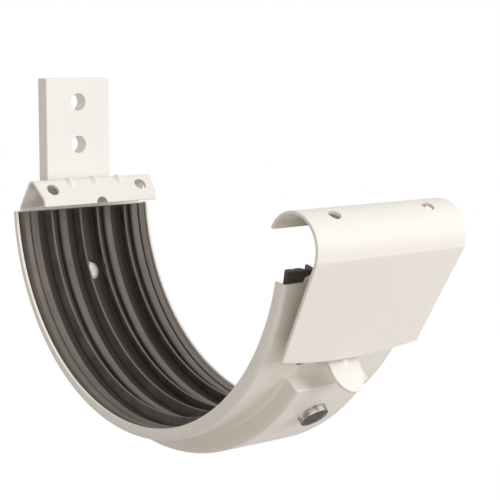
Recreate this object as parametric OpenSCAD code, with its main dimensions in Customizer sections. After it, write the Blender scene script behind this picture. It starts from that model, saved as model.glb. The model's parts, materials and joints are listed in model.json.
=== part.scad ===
// Joint bracket for a half-round gutter: a sheet saddle with a ribbed rubber seal joins two gutter
// lengths, and a flat bar riveted into the saddle's channel hangs it on the fascia.
// Millimetres. X runs along the gutter, +Y points into the wall, -Y to the front and +Z up.
// The origin lies on the bar's back face, half-way between the two fixing holes.

/* [Gutter] */
// Nominal width of the half-round gutter
gutter_d = 125; // [120:1:130]
// Diameter of the bead along the gutter's front edge
bead_d = 18; // [16:0.5:20]
// Distance from the gutter's wall to the middle of its bead, beyond the bead's radius
bead_gap = 1.5; // [1:0.25:3]
// Depth of the bead's middle below the gutter's axis
bead_drop = 4.3; // [3:0.1:6]

/* [Body] */
// Width of the body along the gutter
body_w = 54.6; // [50:0.2:60]
// Thickness of the body's sheet
body_sheet = 1; // [0.8:0.1:1.2]
// Room between the gutter's wall and the inner edge of the lips
lip_room = 3.5; // [3:0.1:4.5]
// Mean height of the lips, outside
lip_h = 3; // [2.8:0.1:4]
// Outer radius of the fold between the wall and a lip
lip_bend = 1.5; // [1.3:0.1:1.8]
// Distance of the body's axis in front of the gutter's axis
body_set = 0.6; // [0:0.1:1]
// Distance of the body's axis below the gutter's axis
body_drop = 0.6; // [0:0.1:1]
// Depth of the body's rear end below the gutter's axis
rear_drop = 5.5; // [5:0.1:7]
// Depth of the body's front end below the gutter's axis
front_drop = 15.2; // [14:0.1:18]
// Diameter of the two holes in the front wall
wall_hole_d = 3.4; // [3:0.1:5]
// Spacing of the two holes in the front wall
wall_hole_gap = 22.4; // [18:0.2:26]
// Distance from the rims of these holes to the channel's closed end
wall_hole_edge = 3.3; // [2.5:0.1:4]

/* [Flat bar] */
// Width of the flat bar
bar_w = 26; // [24:0.5:28]
// Thickness of the flat bar
bar_t = 5; // [4:0.25:6]
// Height of the bar's top above the gutter's axis
bar_rise = 38.5; // [36:0.5:46]
// Diameter of the two fixing holes
fix_hole_d = 5.8; // [4.5:0.1:6.5]
// Spacing of the two fixing holes
fix_hole_gap = 14.5; // [12:0.5:18]
// Distance from the bar's top to the middle of the upper hole
fix_hole_edge = 8.2; // [6:0.1:10]

/* [Channel] */
// Clearance on each side of the bar in the channel
channel_play = 0.35; // [0.3:0.05:1]
// Outer radius of the channel's long edges
channel_round = 1.2; // [0.8:0.1:1.6]
// Radius where the channel's sides run into the wall
channel_root = 1.5; // [0.8:0.1:2]
// Angle below the rear level at which the channel's mouth lies
channel_mouth = 12; // [11:0.5:16]
// Angle below the rear level at which the channel's closed end lies
channel_end = 141.6; // [138:0.2:143]
// Clearance between the bar's lower end and the channel's closed end
bar_end_play = 0.3; // [0.2:0.05:0.6]

/* [Rear nose] */
// Width of the folded nose at its top
nose_w = 48.4; // [44:0.2:49]
// Width of the nose at its lower edge
nose_tip_w = 45.6; // [42:0.2:46]
// Height of the fold's top above the gutter's axis
nose_rise = 4.4; // [3:0.1:6]
// Distance from the wall to the top of the fold
nose_back = 6.6; // [5:0.1:7]
// Distance from the wall to the nose's lip
nose_reach = 12; // [11:0.1:13]
// Depth of the lip's fold below the gutter's axis
nose_fold = 0.9; // [0.5:0.1:1.5]
// Height of the lip
nose_lip = 2.6; // [2.2:0.1:3.5]
// Diameter of the two holes in the nose
nose_hole_d = 4.4; // [3:0.1:5]
// Spacing of the two holes in the nose
nose_hole_gap = 35.8; // [32:0.2:37]
// Spacing of the three stiffening beads on the fold
nose_bead_gap = 10; // [8:0.5:12]
// Radius of the notch in the lip
nose_notch_r = 2.2; // [1.5:0.1:2.5]

/* [Front clip] */
// Width of the clip's curl
clip_w = 57.6; // [54:0.2:64]
// Width of the apron at its lower edge
apron_foot_w = 53; // [48:0.5:56]
// Thickness of the clip's sheet
clip_sheet = 1; // [0.8:0.1:1.2]
// Length of the apron along its sides
apron_len = 33; // [30:0.5:34]
// Lean of the apron from the upright
apron_lean = 29; // [27:0.5:30]
// Extra length of the apron at its middle
apron_bow = 2.5; // [1:0.1:3]
// Diameter of the two holes in the curl
clip_hole_d = 4; // [3:0.1:5]
// Spacing of the two holes in the curl
clip_hole_gap = 36.2; // [32:0.2:42]

/* [Spring leaf] */
// Width of the leaf behind the apron
leaf_w = 39; // [34:0.5:42]
// Length of the leaf that lies flat against the apron
leaf_flat = 12; // [10:0.5:14]
// Distance between the leaf and the apron at the apron's lower edge
leaf_gap = 1.3; // [0.8:0.1:1.8]
// Distance from the apron's lower edge to the kink above the finger tab
tab_drop = 0.7; // [0.4:0.1:1.2]
// Width of the finger tab
tab_w = 11.5; // [10:0.5:14]
// Length of the finger tab below the apron
tab_len = 11; // [9:0.5:13]
// Outward lean of the finger tab from the upright
tab_lean = 21; // [18:0.5:24]

/* [Seal] */
// Thickness of the seal's web
seal_t = 0.8; // [0.7:0.1:1.2]
// Distance from the seal's middle to the crest of the first rib
rib_first = 3.4; // [3:0.1:4]
// Spacing of the ribs: tall fins and low ribs take turns
rib_pitch = 5.75; // [5.5:0.05:5.9]
// Number of ribs on each half
rib_count = 4; // [2:1:4]
// Height of a fin above the seal's back
fin_h = 4.4; // [3.6:0.1:4.6]
// Thickness of a fin
fin_t = 1; // [0.7:0.1:1.3]
// Lean of a fin's crest towards the seal's middle
fin_lean = 0.9; // [0:0.1:1.2]
// Height of a low rib above the seal's back
low_h = 2.3; // [1.8:0.1:2.8]
// Width of a low rib at its crest
low_w = 2.8; // [2:0.1:3]
// Width of the raised edge of the seal at its crest
edge_w = 2; // [1.4:0.1:2.2]
// Clearance between the seal and the inside of each lip
seal_play = 0.3; // [0.2:0.05:0.5]
// Length of the seal above the body's front end
seal_over = 3.5; // [2:0.5:5]

/* [Rivets] */
// Diameter of the rivet shanks
rivet_d = 4.8; // [4:0.1:5]
// Diameter of the front rivet's outer head
front_head_d = 9; // [8:0.1:10]
// Height of the front rivet's outer head
front_head_h = 2; // [1.5:0.1:2.5]
// Height of the front rivet's inner head, behind the seal
front_inner_h = 0.6; // [0.5:0.1:0.8]
// Height of the rear rivet's outer head
rear_head_h = 1.2; // [0.8:0.1:1.6]
// Height of the rear rivet's inner head
rear_inner_h = 1.8; // [1.4:0.1:2.2]
// Diameter of the other rivet heads
small_head_d = 6.4; // [6:0.1:7.5]
// Clearance between the rear rivet's inner head and the seal
head_play = 0.2; // [0.1:0.05:0.5]
// Angle of the front rivet below the rear level
front_rivet_at = 131; // [126:0.5:132]
// Angle of the rear rivet below the rear level
rear_rivet_at = 23; // [22:0.5:28]

/* [Hidden] */

paint = [0.94, 0.91, 0.87];
rubber = [0.24, 0.23, 0.22];
steel = [0.62, 0.61, 0.60];
sweep_fn = 120;
small_fn = 32;
past = 1; // how far a cutting solid runs past a face
sunk = 0.5; // how far a folded strip runs into the wall it grows from

// Radii of the body about its own axis, which lies in front of the gutter's and below it
body_c = [-body_set, -body_drop];
lip_r = gutter_d / 2 + lip_room;
shell_ro = lip_r + lip_h;
shell_ri = shell_ro - body_sheet;
shell_mid = shell_ro - body_sheet / 2;
bar_ro = shell_ro + bar_t;
channel_ro = bar_ro + body_sheet;
channel_half = bar_w / 2 + channel_play;
lip_reach = lip_r - body_set - body_drop - past;

// Angles about the body's axis: 0 points to the wall and -90 down
rear_a = -asin((rear_drop - body_drop) / shell_ro);
front_a = asin((front_drop - body_drop) / shell_ro) - 180;
end_wall_a = deg_of(body_sheet, channel_ro);
bar_end_a = end_wall_a + deg_of(bar_end_play, bar_ro) - channel_end;
wall_hole_a = deg_of(wall_hole_d / 2 + wall_hole_edge, shell_ro) + channel_end;

// The frame's origin in the gutter's own frame
back_y = bar_ro - body_set;
fix_z = bar_rise - fix_hole_edge - fix_hole_gap / 2;

// Front clip: the curl is an arc about the bead, and the crease ends it
curl_c = [-(gutter_d / 2 + bead_d / 2 + bead_gap), -bead_drop];
curl_ri = bead_d / 2;
curl_ro = curl_ri + clip_sheet;
curl_free_a = 29;
curl_crease_a = 200;
clip_hole_a = 119;
crease = curl_c + curl_ro * dir(curl_crease_a);
apron_d = [sin(apron_lean), -cos(apron_lean)];
apron_in = [cos(apron_lean), sin(apron_lean)];

// Spring leaf: corners of its middle line, from the body's front end to the tip of the finger tab
bend_r = 1.5;
leaf_top = 2; // from the clip's crease to the corner where the leaf turns down
leaf_0 = body_point(shell_mid, front_a);
leaf_up = dir(front_a - 90);
leaf_p = crease + apron_in * (clip_sheet + body_sheet / 2);
tab_root = leaf_p + apron_d * (apron_len + apron_bow + tab_drop) + apron_in * leaf_gap;
tab_tip = tab_root + tab_len * [-sin(tab_lean), -cos(tab_lean)];
leaf_path = [leaf_0 - sunk * leaf_up, leaf_0 + leaf_up, leaf_p + apron_d * leaf_top, leaf_p + apron_d * leaf_flat,
             tab_root, tab_tip];
leaf_bends = [bend_r, bend_r, bend_r, bend_r];
leaf_shoulder = 8; // from the leaf's wide part to the apron's lower edge
dimple_r = 1.5;
dimple_down = 2.6; // from the kink to the dimple in the tab
dimple_out = 1.1; // how far the ball that presses the dimple lies off the tab's face

// Rear nose: corners of its middle line, from the body's rear end to the lip's edge
nose_corner = 0.9; // how far the bend's corner stands above the fold's round top
nose_slant = 0.5; // how far the lip leans away from the wall
nose_0 = body_point(shell_mid, rear_a);
nose_up = dir(rear_a + 90);
nose_wall = nose_0[0];
nose_top = [nose_wall - nose_back, nose_rise + nose_corner];
nose_kink = [nose_wall - nose_reach, -nose_fold];
nose_edge = nose_kink + [-nose_slant, -nose_lip];
nose_path = [nose_0 - sunk * nose_up, nose_0 + nose_up, nose_top, nose_kink, nose_edge];
nose_bends = [bend_r, bend_r, 1];
nose_lean = atan2(nose_top[1] - nose_kink[1], nose_top[0] - nose_kink[0]);
nose_leaf = norm(nose_top - nose_kink);
nose_hole_up = 0.4; // where the holes lie on the sloping leaf, as a share of its length
nose_bead_r = 1.5;
nose_bead_down = 2.6; // from the fold to the middle of the beads
nose_bead_sheet = 0.6; // thickness of the drawn sheet in a bead

// Seal: ribs stand on a web that lies in the body between the lips
seal_back = 0.4; // degrees by which the seal ends short of the body's rear end
seal_half = body_w / 2 - body_sheet - seal_play;
seal_corner = lip_bend - body_sheet;
seal_rear_a = rear_a - seal_back;
seal_front_a = front_a - deg_of(seal_over, shell_ri);
edge_thin = 0.9; // thickness of the seal at its very edge
rib_flank = 0.5; // how much wider a low rib is at its foot, on each side
rib_edge = 0.25; // chamfer along the crests

function dir(a) = [cos(a), sin(a)];
function deg_of(len, r) = len / r * 180 / PI;
function body_point(r, a) = body_c + r * dir(a);
function unit(v) = v / norm(v);
function left(v) = [-v[1], v[0]];
function spin(v, a) = [v[0] * cos(a) - v[1] * sin(a), v[0] * sin(a) + v[1] * cos(a)];

// Points of one bend at corner b between a and c, beside the middle line by off (left is plus)
function bend(a, b, c, r, off, n = 8) =
    let (u = unit(b - a),
         w = unit(c - b),
         s = sign(u[0] * w[1] - u[1] * w[0]),
         turn = acos(u * w),
         mid = b - u * r * tan(turn / 2) + s * r * left(u))
    [for (k = [0:n]) mid - s * (r - s * off) * spin(left(u), s * turn * k / n)];

// One side of a bent strip
function strip_side(p, r, off) =
    let (last = len(p) - 1)
    concat([p[0] + off * left(unit(p[1] - p[0]))],
           [for (i = [1:last - 1]) each bend(p[i - 1], p[i], p[i + 1], r[i - 1], off)],
           [p[last] + off * left(unit(p[last] - p[last - 1]))]);

function reversed(p) = [for (i = [len(p) - 1:-1:0]) p[i]];

// A strip of sheet bent along path p: 2D x is Y and 2D y is Z
module bent_strip(p, r, sheet, width) {
    rotate([90, 0, 90])
        linear_extrude(width, center = true)
            polygon(concat(strip_side(p, r, -sheet / 2), reversed(strip_side(p, r, sheet / 2))));
}

// Moves a piece from the gutter's frame to the part's own
module in_frame() {
    translate([0, -back_y, -fix_z])
        children();
}

// Sweeps a profile, 2D x as radius and 2D y along the gutter, about the body's axis
module sweep(from, to) {
    translate([0, body_c[0], body_c[1]])
        rotate([90, 0, 90])
            rotate([0, 0, to])
                rotate_extrude(angle = from - to, $fn = sweep_fn)
                    children();
}

// Sets children, whose z points outward, on a radius of the body at an angle
module radial(a, x = 0) {
    translate([x, body_c[0], body_c[1]])
        rotate([a - 90, 0, 0])
            children();
}

module mirrored_pair() {
    children();
    mirror([0, 1])
        children();
}

// Wall and the two folded lips
module wall_profile() {
    straight = body_w / 2 - lip_bend;
    translate([shell_ri, -straight])
        square([body_sheet, 2 * straight]);
    mirrored_pair() {
        intersection() {
            translate([shell_ro - lip_bend, straight])
                difference() {
                    circle(lip_bend, $fn = small_fn);
                    circle(lip_bend - body_sheet, $fn = small_fn);
                }
            translate([shell_ro - lip_bend, straight])
                square(lip_bend);
        }
        translate([lip_reach, body_w / 2 - body_sheet])
            square([shell_ro - lip_bend - lip_reach, body_sheet]);
    }
}

// Outside of the pressed channel, with round long edges and soft roots
module channel_profile() {
    outer = channel_half + body_sheet;
    translate([shell_ri, -outer])
        square([channel_ro - channel_round - shell_ri, 2 * outer]);
    translate([shell_ri, channel_round - outer])
        square([channel_ro - shell_ri, 2 * (outer - channel_round)]);
    mirrored_pair() {
        translate([channel_ro - channel_round, outer - channel_round])
            circle(channel_round, $fn = small_fn);
        difference() {
            translate([shell_ri, outer - past])
                square([body_sheet + channel_root, channel_root + past]);
            translate([shell_ro + channel_root, outer + channel_root])
                circle(channel_root, $fn = small_fn);
        }
    }
}

module rear_nose() {
    difference() {
        union() {
            bent_strip(nose_path, nose_bends, body_sheet, nose_w);
            for (i = [-1:1])
                nose_bead(i * nose_bead_gap, nose_bead_r);
        }
        for (i = [-1:1])
            nose_bead(i * nose_bead_gap, nose_bead_r - nose_bead_sheet);
        for (side = [-1, 1]) {
            nose_hole(side * nose_hole_gap / 2);
            nose_taper(side);
        }
        translate([0, nose_edge[0], nose_edge[1]])
            rotate([90, 0, 0])
                cylinder(h = 4 * body_sheet, r = nose_notch_r, center = true, $fn = small_fn);
    }
}

// Frame on the sloping leaf of the nose: y runs up the leaf and z stands out of it
module on_nose(x, up) {
    translate([x, nose_kink[0], nose_kink[1]])
        rotate([nose_lean, 0, 0])
            translate([0, up, 0])
                children();
}

module nose_bead(x, r) {
    on_nose(x, nose_leaf - nose_bead_down)
        sphere(r, $fn = small_fn);
}

module nose_hole(x) {
    on_nose(x, nose_leaf * nose_hole_up)
        cylinder(h = 4 * body_sheet, d = nose_hole_d, center = true, $fn = small_fn);
}

// Cuts one end of the sloping leaf to the taper, and the lip square below it
module nose_taper(side) {
    run = nose_leaf + nose_lip;
    x_top = nose_w / 2;
    x_low = nose_tip_w / 2;
    on_nose(0, 0)
        translate([0, 0, -3 * past])
            linear_extrude(6 * past)
                polygon([[side * x_low, -nose_lip - past],
                         [side * x_low, -nose_lip * 0.7],
                         [side * x_top, run - nose_lip],
                         [side * (x_top + past), run - nose_lip],
                         [side * (x_top + past), -nose_lip - past]]);
}

// Leaf that rises from the body's front end, folds over behind the apron and ends in a finger tab
module spring_leaf() {
    shoulder_z = tab_root[1] + leaf_shoulder;
    tip_z = tab_tip[1] + tab_w / 2;
    difference() {
        intersection() {
            bent_strip(leaf_path, leaf_bends, body_sheet, leaf_w);
            translate([0, -gutter_d, 0])
                rotate([-90, 0, 0])
                    linear_extrude(gutter_d)
                        mirror([0, 1])
                            leaf_outline(shoulder_z, tip_z);
        }
        translate([0, tab_root[0], tab_root[1]])
            rotate([90 - tab_lean, 0, 0])
                translate([0, -dimple_down, body_sheet / 2 + dimple_out])
                    sphere(dimple_r, $fn = small_fn);
    }
}

// Front view of the leaf: 2D y is Z
module leaf_outline(shoulder_z, tip_z) {
    translate([-leaf_w / 2, shoulder_z])
        square([leaf_w, -shoulder_z]);
    translate([-tab_w / 2, tip_z])
        square([tab_w, shoulder_z - tip_z + past]);
    translate([0, tip_z])
        circle(tab_w / 2, $fn = 2 * small_fn);
}

// The wall and its lips, whose inner edge is a circle about the gutter's own axis
module lipped_wall() {
    difference() {
        sweep(front_a, rear_a)
            wall_profile();
        rotate([0, 90, 0])
            cylinder(h = 2 * body_w, r = lip_r, center = true, $fn = 2 * sweep_fn);
    }
}

module body_shell() {
    color(paint) in_frame()
        difference() {
            union() {
                lipped_wall();
                sweep(-channel_end, -channel_mouth)
                    channel_profile();
                rear_nose();
                spring_leaf();
            }
            sweep(end_wall_a - channel_end, past - channel_mouth)
                translate([shell_ri - past, -channel_half])
                    square([bar_ro - shell_ri + past, 2 * channel_half]);
            for (x = [-1, 1])
                radial(-wall_hole_a, x * wall_hole_gap / 2)
                    cylinder(h = channel_ro, d = wall_hole_d, $fn = small_fn);
            rivet_bores();
        }
}

// Bores of both rivets, through the bar and the channel
module rivet_bores() {
    for (a = [front_rivet_at, rear_rivet_at])
        radial(-a)
            translate([0, 0, shell_ri])
                cylinder(h = channel_ro - shell_ri + past, d = rivet_d, $fn = small_fn);
}

module flat_bar() {
    color(paint) in_frame()
        difference() {
            union() {
                sweep(bar_end_a, 0)
                    translate([shell_ro, -bar_w / 2])
                        square([bar_t, bar_w]);
                translate([-bar_w / 2, back_y - bar_t, -body_drop])
                    cube([bar_w, bar_t, bar_rise + body_drop]);
            }
            for (i = [0, 1])
                translate([0, back_y - bar_t / 2, bar_rise - fix_hole_edge - i * fix_hole_gap])
                    rotate([90, 0, 0])
                        cylinder(h = 2 * bar_t, d = fix_hole_d, center = true, $fn = small_fn);
            rivet_bores();
        }
}

// Section of one rib: 2D x is the radius and 2D y runs along the gutter
module rib_profile(at, height, crest, flank, lean) {
    foot_r = shell_ri - seal_t / 2;
    top_r = shell_ri - height;
    foot = at + lean;
    half = crest / 2;
    polygon([[foot_r, foot - half - flank], [foot_r, foot + half + flank],
             [top_r + rib_edge, at + half], [top_r, at + half - rib_edge],
             [top_r, at - half + rib_edge], [top_r + rib_edge, at - half]]);
}

// Section of one half of the seal, from its middle to its edge
module seal_profile() {
    edge_top = shell_ri - low_h;
    edge_out = seal_half - (low_h - edge_thin);
    translate([shell_ri - seal_t, -past])
        square([seal_t, seal_half - seal_corner + past]);
    for (i = [0:rib_count - 1]) {
        at = rib_first + i * rib_pitch;
        if (i % 2 == 0)
            rib_profile(at, fin_h, fin_t, 0, fin_lean);
        else
            rib_profile(at, low_h, low_w, rib_flank, 0);
    }
    polygon([[shell_ri, seal_half - seal_corner], [shell_ri - seal_corner, seal_half],
             [shell_ri - edge_thin, seal_half], [edge_top, edge_out],
             [edge_top, edge_out - edge_w], [shell_ri - seal_t, edge_out - edge_w - rib_flank],
             [shell_ri, edge_out - edge_w - rib_flank]]);
}

module rubber_seal() {
    color(rubber) in_frame()
        difference() {
            sweep(seal_front_a, seal_rear_a)
                mirrored_pair()
                    seal_profile();
            radial(-rear_rivet_at)
                cylinder(h = channel_ro, d = small_head_d + 2 * head_play, $fn = small_fn);
        }
}

// Part of a ring of the curl between two angles
module curl_profile() {
    far = 3 * curl_ro;
    intersection() {
        difference() {
            circle(curl_ro, $fn = sweep_fn);
            circle(curl_ri, $fn = sweep_fn);
        }
        polygon([[0, 0], far * dir(curl_free_a), far * dir(90), far * dir(150),
                 far * dir(curl_crease_a)]);
    }
}

// The apron lies flat: 2D x runs along the gutter and 2D y down the apron
module apron_profile() {
    half = apron_foot_w / 2;
    bow_r = (half * half + apron_bow * apron_bow) / (2 * apron_bow);
    full = apron_len + apron_bow;
    intersection() {
        polygon([[-clip_w / 2, 0], [clip_w / 2, 0], [half, apron_len], [half, full],
                 [-half, full], [-half, apron_len]]);
        translate([0, full - bow_r])
            circle(bow_r, $fn = 2 * sweep_fn);
    }
}

module front_clip() {
    color(paint) in_frame()
        difference() {
            union() {
                translate([0, curl_c[0], curl_c[1]])
                    rotate([90, 0, 90])
                        linear_extrude(clip_w, center = true)
                            curl_profile();
                translate([0, crease[0], crease[1]])
                    rotate([apron_lean - 90, 0, 0])
                        linear_extrude(clip_sheet)
                            apron_profile();
            }
            for (x = [-1, 1])
                translate([x * clip_hole_gap / 2, curl_c[0], curl_c[1]])
                    rotate([clip_hole_a - 90, 0, 0])
                        cylinder(h = 2 * curl_ro, d = clip_hole_d, $fn = small_fn);
        }
}

// Rivet on a radius: shank through bar and channel, outer head on the channel, inner head on the bar
module rivet(a, outer_d, outer_h, inner_h) {
    edge = 0.3;
    inner_seat = sqrt(shell_ro * shell_ro - small_head_d * small_head_d / 4);
    radial(-a) {
        translate([0, 0, inner_seat - inner_h / 2])
            cylinder(h = channel_ro - inner_seat + inner_h / 2 + outer_h / 2, d = rivet_d, $fn = small_fn);
        translate([0, 0, channel_ro])
            cylinder(h = outer_h - edge, d = outer_d, $fn = 2 * small_fn);
        translate([0, 0, channel_ro + outer_h - edge])
            cylinder(h = edge, d1 = outer_d, d2 = outer_d - 2 * edge, $fn = 2 * small_fn);
        translate([0, 0, inner_seat - inner_h])
            cylinder(h = inner_h, d = small_head_d, $fn = 2 * small_fn);
    }
}

module front_rivet() {
    color(steel) in_frame()
        rivet(front_rivet_at, front_head_d, front_head_h, front_inner_h);
}

module rear_rivet() {
    color(paint) in_frame()
        rivet(rear_rivet_at, small_head_d, rear_head_h, rear_inner_h);
}

body_shell();
rubber_seal();
flat_bar();
front_clip();
front_rivet();
rear_rivet();
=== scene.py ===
# %% [markdown]
# # A joint bracket for a half-round gutter
# The bracket is one riveted unit: a saddle of folded sheet, a ribbed rubber seal that lies in it,
# a sprung clip in front, and a flat bar behind that is screwed to the fascia. The measured model is
# loaded first and stays fixed. This lesson dresses it piece by piece: soft edges where sheet is
# folded or sheared, an extruded seal, turned rivets, and then paint, rubber and steel.

import json

import bmesh
import bpy
import numpy as np
from mathutils import Matrix, Vector


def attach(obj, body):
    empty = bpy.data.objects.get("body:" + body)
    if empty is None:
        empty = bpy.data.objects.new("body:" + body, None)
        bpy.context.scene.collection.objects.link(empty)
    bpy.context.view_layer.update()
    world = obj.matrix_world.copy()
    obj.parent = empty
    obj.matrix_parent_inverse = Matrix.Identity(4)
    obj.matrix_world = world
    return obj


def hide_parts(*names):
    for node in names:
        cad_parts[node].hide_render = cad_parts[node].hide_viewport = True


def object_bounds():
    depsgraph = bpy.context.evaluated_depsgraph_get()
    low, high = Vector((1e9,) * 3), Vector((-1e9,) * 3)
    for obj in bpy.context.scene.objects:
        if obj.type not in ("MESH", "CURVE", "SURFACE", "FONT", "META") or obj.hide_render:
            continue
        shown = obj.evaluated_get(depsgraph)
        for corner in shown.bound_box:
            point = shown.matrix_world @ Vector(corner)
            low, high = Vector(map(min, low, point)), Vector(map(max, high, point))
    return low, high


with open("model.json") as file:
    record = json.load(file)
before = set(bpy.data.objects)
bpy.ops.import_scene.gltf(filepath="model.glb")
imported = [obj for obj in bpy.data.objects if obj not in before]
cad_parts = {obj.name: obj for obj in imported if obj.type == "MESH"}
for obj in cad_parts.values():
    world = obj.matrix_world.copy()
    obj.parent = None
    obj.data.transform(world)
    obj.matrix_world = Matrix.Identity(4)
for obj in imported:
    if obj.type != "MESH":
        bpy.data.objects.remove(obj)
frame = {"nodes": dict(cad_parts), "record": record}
cad_box = [list(corner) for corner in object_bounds()]
mounts = {m["name"]: m for m in frame["record"]["mounts"]}
print("nodes:", sorted(frame["nodes"]))
print("box of the model, mm:", [[round(v * 1000, 1) for v in corner] for corner in cad_box])

# %% [markdown]
# All shapes are worked out in the cross-section of the gutter, where y points to the wall and z
# up, in millimetres from the gutter's axis. That is how a tinsmith would draw them. One function
# carries a drawn point to its place in the model, in metres. The gutter's axis comes from the
# model's own record.

# %% From the drawing to the model
MM = 0.001
ALONG_GUTTER = np.array([1.0, 0.0, 0.0])
gutter_axis = np.array(mounts["gutter_seat"]["pos_m"])
body_centre = np.array([-0.6, -0.6])
bend_axis_at = gutter_axis + np.array([0.0, *body_centre]) * MM
print("gutter axis in the model, mm:", np.round(gutter_axis / MM, 2))


def placed(x, yz):
    """Drawn points in the model: (x, y, z) / 1000 + the gutter's axis. x runs along the gutter."""
    x, y, z = np.broadcast_arrays(x, yz[..., 0], yz[..., 1])
    return np.stack([x, y, z], axis=-1) * MM + gutter_axis


def direction(degrees):
    """Unit vector (cos a, sin a) in the drawing: 0 points to the wall and -90 down."""
    a = np.radians(degrees)
    return np.stack([np.cos(a), np.sin(a)], axis=-1)


def on_body(radius, degrees):
    """Point at a radius and an angle about the body's centre."""
    return body_centre + np.asarray(radius)[..., None] * direction(degrees)


# %% [markdown]
# Every new piece is a grid of points. One direction of the grid runs along the piece, and the
# other runs round its section. The faces are the same for every grid, so one function makes them
# from the grid's size alone. It also writes a UV map over the grid, for patterns that have to
# follow the surface, as the drawing lines of an extrusion do.

# %% Grids
SHARP_TURN = np.radians(35.0)
SAME_POINT = 0.0005 * MM


def grid_object(name, points, wrap_u=False, wrap_v=False, uv_size=(1.0, 1.0)):
    """Mesh object from a grid: point (i, j) is joined to (i + 1, j) and (i, j + 1).
    A wrapped direction joins its last row to its first. u and v run from 0 to uv_size."""
    rows, cols = points.shape[:2]
    i = np.arange(rows if wrap_u else rows - 1)
    j = np.arange(cols if wrap_v else cols - 1)
    i, j = np.meshgrid(i, j, indexing="ij")
    i2, j2 = (i + 1) % rows, (j + 1) % cols
    quads = np.stack([i * cols + j, i2 * cols + j, i2 * cols + j2, i * cols + j2], axis=-1)
    mesh = bpy.data.meshes.new(name)
    mesh.from_pydata(points.reshape(-1, 3), [], quads.reshape(-1, 4))
    u = np.stack([i, i + 1, i + 1, i], axis=-1).reshape(-1) / max(1, rows - (not wrap_u))
    v = np.stack([j, j, j + 1, j + 1], axis=-1).reshape(-1) / max(1, cols - (not wrap_v))
    layer = mesh.uv_layers.new(name="Along")
    layer.data.foreach_set("uv", np.stack([u * uv_size[0], v * uv_size[1]], -1).ravel())
    piece = bpy.data.objects.new(name, mesh)
    bpy.context.scene.collection.objects.link(piece)
    return piece


def closed(piece):
    """Joins doubled corners, fills open ends, turns every face outwards and sets smooth shading
    that breaks where the surface turns by more than SHARP_TURN."""
    shape = bmesh.new()
    shape.from_mesh(piece.data)
    bmesh.ops.remove_doubles(shape, verts=shape.verts, dist=SAME_POINT)
    bmesh.ops.holes_fill(shape, edges=[e for e in shape.edges if e.is_boundary])
    bmesh.ops.recalc_face_normals(shape, faces=shape.faces)
    shape.to_mesh(piece.data)
    shape.free()
    piece.data.polygons.foreach_set("use_smooth", np.ones(len(piece.data.polygons), bool))
    piece.data.set_sharp_from_angle(angle=SHARP_TURN)
    return piece


# %% [markdown]
# Holes and notches are cut with closed tools, because a hole's rim has to follow the surface that
# it leaves. A piece that is one sheet on the real bracket, but has several shells here, is joined
# into one object, so that it has one name and one finish.

# %% Cutting and joining
def cut_away(piece, tools):
    """Cuts closed shapes out of a piece with an exact Boolean, and keeps the result as its mesh."""
    for tool in tools:
        cut = piece.modifiers.new("Cut", "BOOLEAN")
        cut.object = tool
        cut.operation = "DIFFERENCE"
        cut.solver = "EXACT"
    bpy.context.view_layer.update()
    finished = piece.evaluated_get(bpy.context.evaluated_depsgraph_get())
    mesh = bpy.data.meshes.new_from_object(finished)
    piece.modifiers.clear()
    piece.data = mesh
    piece.data.set_sharp_from_angle(angle=SHARP_TURN)
    for tool in tools:
        bpy.data.objects.remove(tool)


def joined(name, parts):
    """One object from several closed shells that lie against each other."""
    shape = bmesh.new()
    for part in parts:
        shape.from_mesh(part.data)
    mesh = bpy.data.meshes.new(name)
    shape.to_mesh(mesh)
    shape.free()
    for part in parts:
        bpy.data.objects.remove(part)
    piece = bpy.data.objects.new(name, mesh)
    bpy.context.scene.collection.objects.link(piece)
    return piece


def finish_piece(piece, nodes):
    """Parents the piece to the root body, hides the model's parts that it replaces, and evens out
    its shading with weighted normals.
    """
    shading = piece.modifiers.new("Even shading", "WEIGHTED_NORMAL")
    shading.keep_sharp = True
    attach(piece, "root")
    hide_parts(*nodes)
    size = np.ptp(np.array(piece.bound_box), axis=0)
    print(piece.name, "mm:", np.round(size / MM, 2), "faces:", len(piece.data.polygons))


# %% [markdown]
# Sheared sheet and rolled bar are never quite square: each edge has a small round, where the burr
# was taken off and the paint has drawn back. The round catches the light as a thin line, so it is
# part of the shape here. A strip is a core line with a section carried along it. The section's
# corners, and the two ends, are all made by one rule: every point stands a corner radius away
# from a slightly smaller strip. That rounds all twelve edges of the strip alike. The sheet is
# 1 mm thick, and its rounds have a radius of 0.22 mm.

# %% Lines with bends
BEND_STEP = 9.0


def measured(points, ways):
    """Line as length, point and direction. The length adds up the steps between the points."""
    steps = np.linalg.norm(np.diff(points, axis=0), axis=1)
    return np.concatenate([[0], np.cumsum(steps)]), points, ways


def bent_line(corners, radii):
    """Line through drawn corners, each rounded by its radius, with a point per BEND_STEP degrees.
    An arc with radius r starts r tan(turn / 2) before its corner. Straight parts stay straight."""
    p = np.asarray(corners, float)
    d = np.diff(p, axis=0)
    d /= np.linalg.norm(d, axis=1, keepdims=True)
    turn = np.arctan2(d[:-1, 0] * d[1:, 1] - d[:-1, 1] * d[1:, 0], (d[:-1] * d[1:]).sum(1))
    points, ways = [p[:1]], [d[:1]]
    for corner, before, bend, radius in zip(p[1:-1], d[:-1], turn, radii):
        first = np.degrees(np.arctan2(before[1], before[0]))
        count = max(3, int(abs(np.degrees(bend)) / BEND_STEP) + 2)
        heading = direction(first + np.linspace(0, np.degrees(bend), count))
        side = np.sign(bend) * np.stack([-heading[:, 1], heading[:, 0]], axis=-1)
        centre = corner - before * radius * np.tan(abs(bend) / 2) + radius * side[0]
        points.append(centre - radius * side)
        ways.append(heading)
    points.append(p[-1:])
    ways.append(d[-1:])
    return measured(np.concatenate(points), np.concatenate(ways))


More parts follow.
